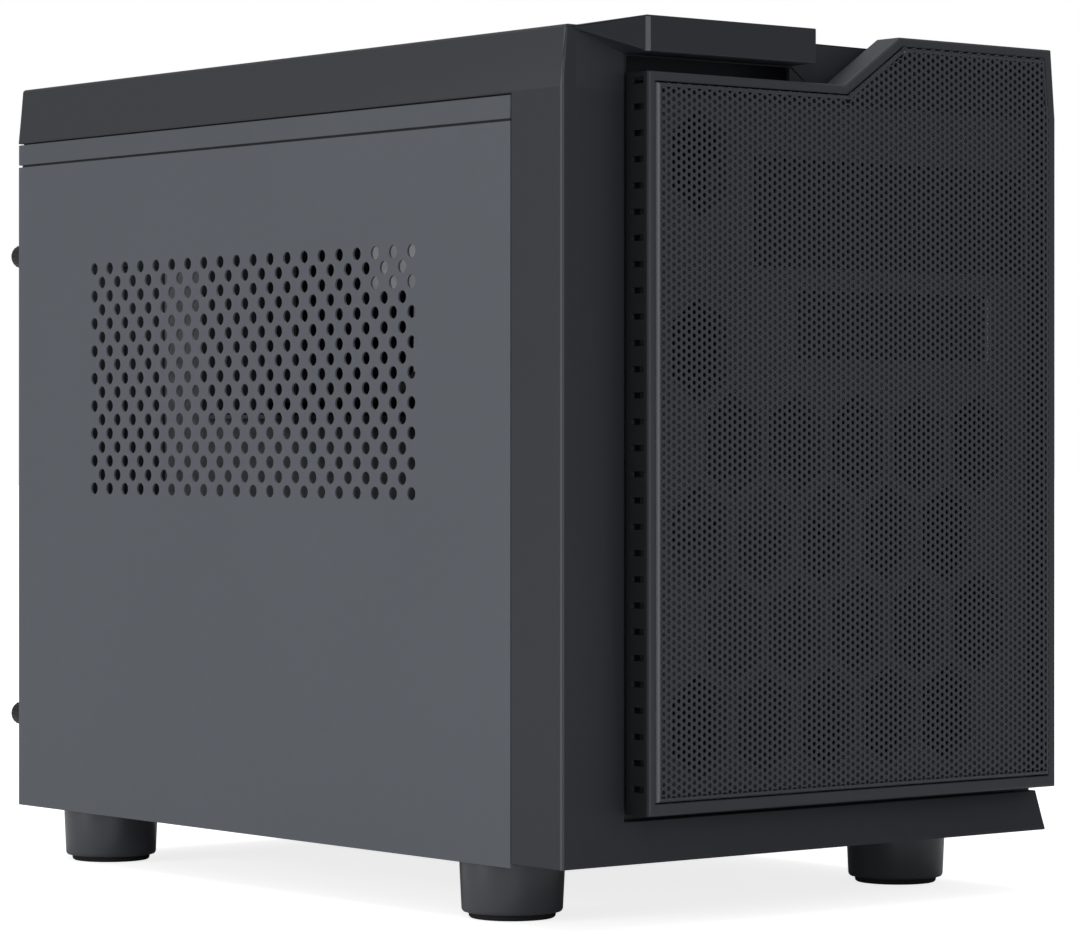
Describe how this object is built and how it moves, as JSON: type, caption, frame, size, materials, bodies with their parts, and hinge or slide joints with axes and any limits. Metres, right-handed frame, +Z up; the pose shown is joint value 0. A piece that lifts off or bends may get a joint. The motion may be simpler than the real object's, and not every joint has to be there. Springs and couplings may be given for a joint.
{
  "type": "micro atx pc case",
  "caption": "Cube-like computer case with a perforated side panel, a moulded front and top, a small port hood and a hinged mesh front door; all bays are empty.",
  "frame": {"origin": "centre of the overall footprint, on the surface that the feet stand on", "axes": "-Y towards the front door, +X towards the plain side panel, +Z up"},
  "size_m": [0.25, 0.386, 0.3363],
  "materials": {
    "audio_socket_1": "matt black",
    "audio_socket_2": "matt black",
    "base_pan": "dark grey powder coat",
    "bay_cage": "dark grey powder coat",
    "bay_cover_3in": "fine matt grain",
    "bay_cover_5in": "fine matt grain",
    "door_frame": "fine matt grain",
    "door_magnet": "plain bright steel",
    "door_mesh": "dark powder coat",
    "door_pin_lower": "plain bright steel",
    "door_pin_upper": "plain bright steel",
    "drive_cage": "dark grey powder coat",
    "drive_sled_1": "matt black",
    "drive_sled_2": "matt black",
    "fan_frame": "matt black",
    "fan_rotor": "matt black",
    "foot_front_left": "fine matt grain",
    "foot_front_right": "fine matt grain",
    "foot_pad_front_left": "soft matt",
    "foot_pad_front_right": "soft matt",
    "foot_pad_rear_left": "soft matt",
    "foot_pad_rear_right": "soft matt",
    "foot_rear_left": "fine matt grain",
    "foot_rear_right": "fine matt grain",
    "front_and_top_shell": "fine matt grain",
    "front_frame": "dark grey powder coat",
    "left_side_panel": "fine grey powder coat",
    "motherboard_tray": "dark grey powder coat",
    "port_board": "matt black",
    "port_cover_plate": "dark grey powder coat",
    "power_button": "fine matt grain",
    "psu_rail_left": "dark grey powder coat",
    "psu_rail_right": "dark grey powder coat",
    "rear_panel": "dark grey powder coat",
    "reset_button": "fine matt grain",
    "right_side_panel": "fine grey powder coat",
    "slot_clamp_bar": "dark grey powder coat",
    "slot_cover_1": "dark grey powder coat",
    "slot_cover_2": "dark grey powder coat",
    "slot_cover_3": "dark grey powder coat",
    "slot_cover_4": "dark grey powder coat",
    "thumbscrew_left_lower": "matt black",
    "thumbscrew_left_upper": "matt black",
    "thumbscrew_right_lower": "matt black",
    "thumbscrew_right_upper": "matt black",
    "top_filter": "dark powder coat",
    "top_panel": "fine grey powder coat",
    "usb_socket_1": "plain bright steel",
    "usb_socket_2": "plain bright steel"
  },
  "bodies": {
    "chassis": {"audio_socket_1": "audio_socket_1", "audio_socket_2": "audio_socket_2", "base_pan": "base_pan", "bay_cage": "bay_cage", "bay_cover_3in": "bay_cover_3in", "bay_cover_5in": "bay_cover_5in", "door_magnet": "door_magnet", "door_pin_lower": "door_pin_lower", "door_pin_upper": "door_pin_upper", "drive_cage": "drive_cage", "drive_sled_1": "drive_sled_1", "drive_sled_2": "drive_sled_2", "fan_frame": "fan_frame", "foot_front_left": "foot_front_left", "foot_front_right": "foot_front_right", "foot_pad_front_left": "foot_pad_front_left", "foot_pad_front_right": "foot_pad_front_right", "foot_pad_rear_left": "foot_pad_rear_left", "foot_pad_rear_right": "foot_pad_rear_right", "foot_rear_left": "foot_rear_left", "foot_rear_right": "foot_rear_right", "front_and_top_shell": "front_and_top_shell", "front_frame": "front_frame", "left_side_panel": "left_side_panel", "motherboard_tray": "motherboard_tray", "port_board": "port_board", "port_cover_plate": "port_cover_plate", "psu_rail_left": "psu_rail_left", "psu_rail_right": "psu_rail_right", "rear_panel": "rear_panel", "right_side_panel": "right_side_panel", "slot_clamp_bar": "slot_clamp_bar", "slot_cover_1": "slot_cover_1", "slot_cover_2": "slot_cover_2", "slot_cover_3": "slot_cover_3", "slot_cover_4": "slot_cover_4", "thumbscrew_left_lower": "thumbscrew_left_lower", "thumbscrew_left_upper": "thumbscrew_left_upper", "thumbscrew_right_lower": "thumbscrew_right_lower", "thumbscrew_right_upper": "thumbscrew_right_upper", "top_filter": "top_filter", "top_panel": "top_panel", "usb_socket_1": "usb_socket_1", "usb_socket_2": "usb_socket_2"},
    "door": {"door_frame": "door_frame", "door_mesh": "door_mesh"},
    "power_button": {"power_button": "power_button"},
    "reset_button": {"reset_button": "reset_button"},
    "fan_rotor": {"fan_rotor": "fan_rotor"}
  },
  "joints": [
    {"name": "door_hinge", "type": "hinge", "parent": "chassis", "child": "door", "pos_m": [0.1226, -0.1808, 0.1732], "axis": [0, 0, 1], "range_deg": [0, 100]},
    {"name": "power_button_press", "type": "slide", "parent": "chassis", "child": "power_button", "axis": [0, 0, -1], "range_m": [0, 0.0012], "stiffness_N_per_m": 400, "springref_m": -0.001},
    {"name": "reset_button_press", "type": "slide", "parent": "chassis", "child": "reset_button", "axis": [0, 0, -1], "range_m": [0, 0.0012], "stiffness_N_per_m": 300, "springref_m": -0.001},
    {"name": "rear_fan_spin", "type": "hinge", "parent": "chassis", "child": "fan_rotor", "pos_m": [0.04, 0.1583, 0.2422], "axis": [0, 1, 0], "continuous": true}
  ]
}
